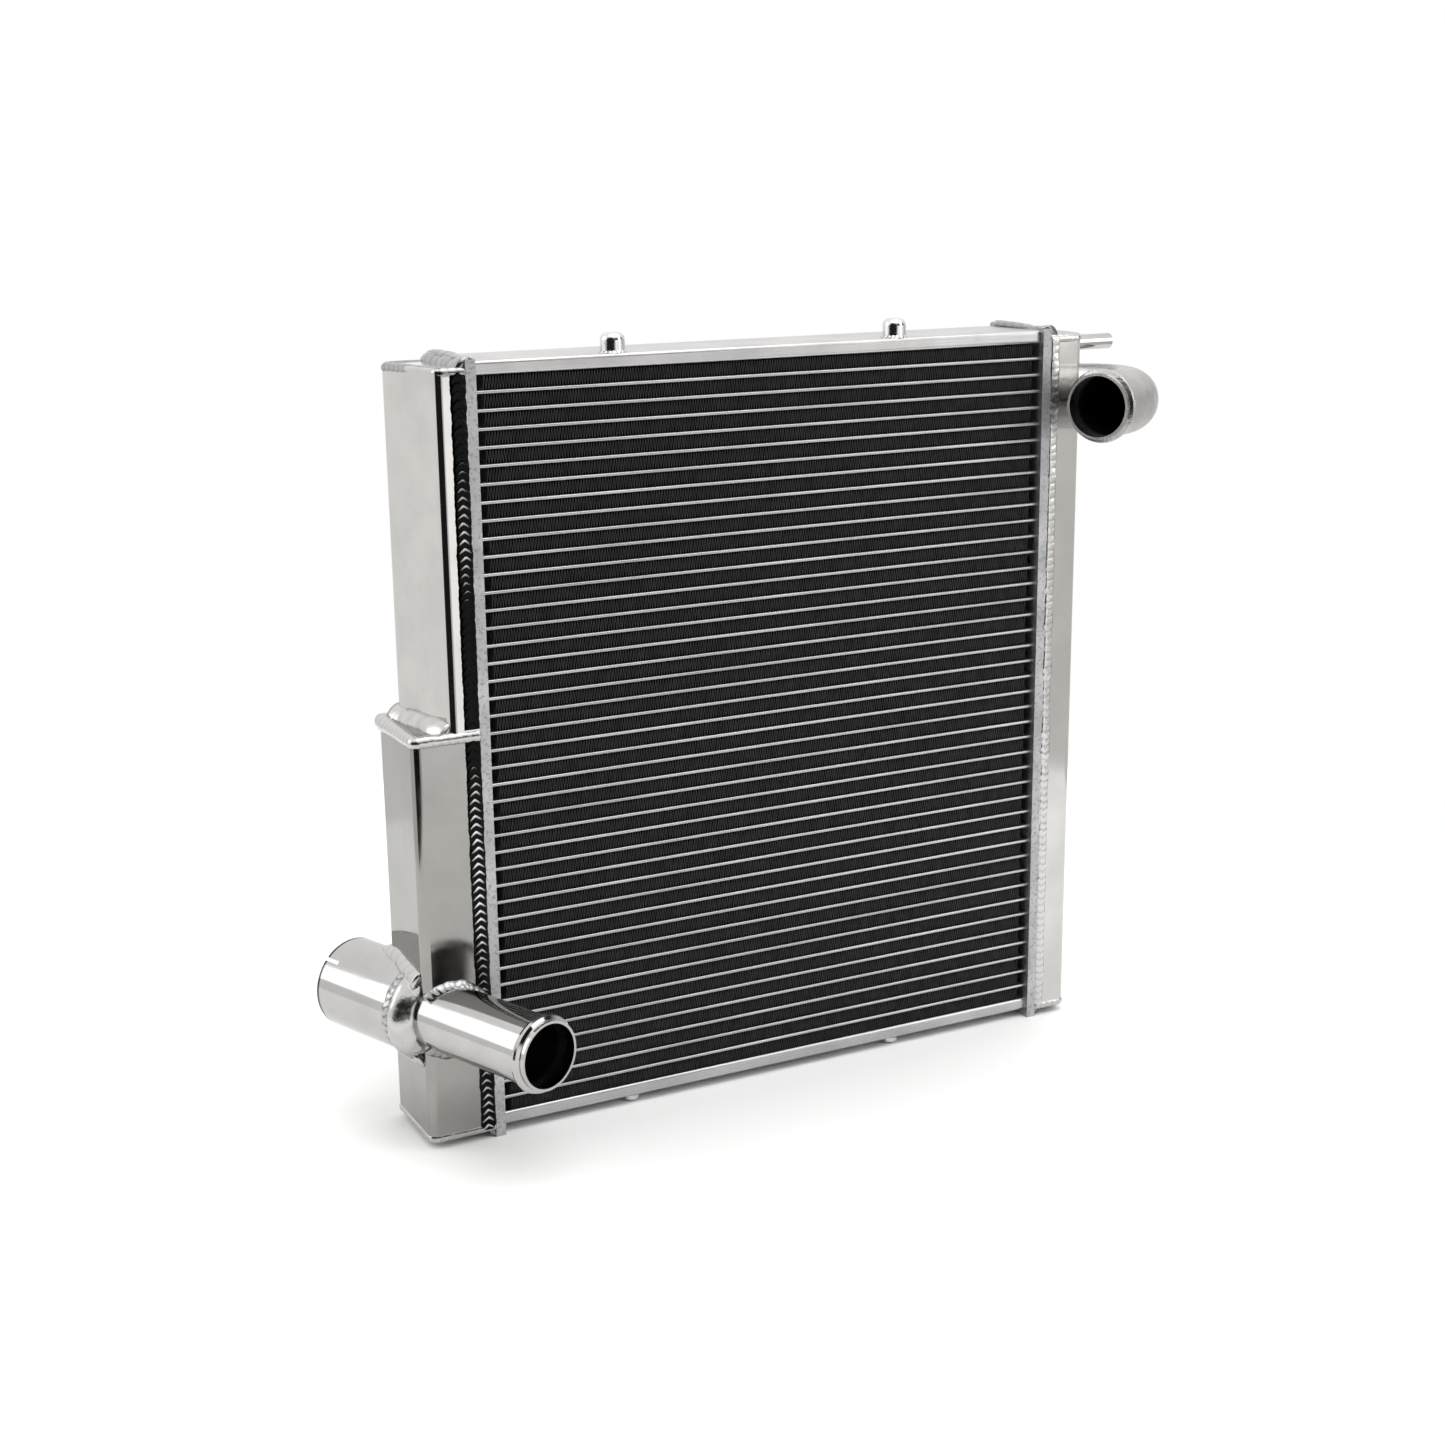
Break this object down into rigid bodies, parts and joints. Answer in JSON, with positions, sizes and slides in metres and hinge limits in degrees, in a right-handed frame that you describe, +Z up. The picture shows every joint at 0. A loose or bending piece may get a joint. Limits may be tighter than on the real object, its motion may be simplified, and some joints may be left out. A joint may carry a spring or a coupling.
{
  "type": "car radiator",
  "caption": "Aluminium cross-flow car radiator: flat-tube core with black fins between two welded end tanks, hose pipes at top right and lower left, four mounting pegs.",
  "frame": {"origin": "midway between the axes of the two lower mounting pegs, on the plane that the radiator stands on", "axes": "+Z up, +X along the core towards the inlet tank, the front faces -Y"},
  "size_m": [0.5353, 0.1777, 0.46],
  "materials": {
    "tube_aluminium": "bare rolled tube, bright edge",
    "fin_black": "matt black heat-resistant coating",
    "header_aluminium": "matt, as brazed",
    "satin_aluminium": "satin, lightly brushed",
    "peg_aluminium": "turned and polished",
    "polished_aluminium": "polished"
  },
  "bodies": {
    "root": {"tube_01": "tube_aluminium", "tube_02": "tube_aluminium", "tube_03": "tube_aluminium", "tube_04": "tube_aluminium", "tube_05": "tube_aluminium", "tube_06": "tube_aluminium", "tube_07": "tube_aluminium", "tube_08": "tube_aluminium", "tube_09": "tube_aluminium", "tube_10": "tube_aluminium", "tube_11": "tube_aluminium", "tube_12": "tube_aluminium", "tube_13": "tube_aluminium", "tube_14": "tube_aluminium", "tube_15": "tube_aluminium", "tube_16": "tube_aluminium", "tube_17": "tube_aluminium", "tube_18": "tube_aluminium", "tube_19": "tube_aluminium", "tube_20": "tube_aluminium", "tube_21": "tube_aluminium", "tube_22": "tube_aluminium", "tube_23": "tube_aluminium", "tube_24": "tube_aluminium", "tube_25": "tube_aluminium", "tube_26": "tube_aluminium", "tube_27": "tube_aluminium", "tube_28": "tube_aluminium", "tube_29": "tube_aluminium", "tube_30": "tube_aluminium", "tube_31": "tube_aluminium", "tube_32": "tube_aluminium", "tube_33": "tube_aluminium", "tube_34": "tube_aluminium", "tube_35": "tube_aluminium", "tube_36": "tube_aluminium", "tube_37": "tube_aluminium", "tube_38": "tube_aluminium", "tube_39": "tube_aluminium", "tube_40": "tube_aluminium", "tube_41": "tube_aluminium", "tube_42": "tube_aluminium", "air_fins": "fin_black", "left_header": "header_aluminium", "right_header": "header_aluminium", "top_side_plate": "satin_aluminium", "bottom_side_plate": "satin_aluminium", "mounting_pegs": "peg_aluminium", "left_tank_upper_shell": "polished_aluminium", "left_tank_lower_shell": "polished_aluminium", "left_tank_top_cap": "polished_aluminium", "left_tank_step_cap": "polished_aluminium", "left_tank_bottom_cap": "polished_aluminium", "right_tank_shell": "polished_aluminium", "right_tank_top_cap": "polished_aluminium", "right_tank_bottom_cap": "polished_aluminium", "inlet_elbow": "polished_aluminium", "front_outlet_pipe": "polished_aluminium", "rear_outlet_pipe": "polished_aluminium", "bleed_pipe": "polished_aluminium"}
  },
  "joints": []
}
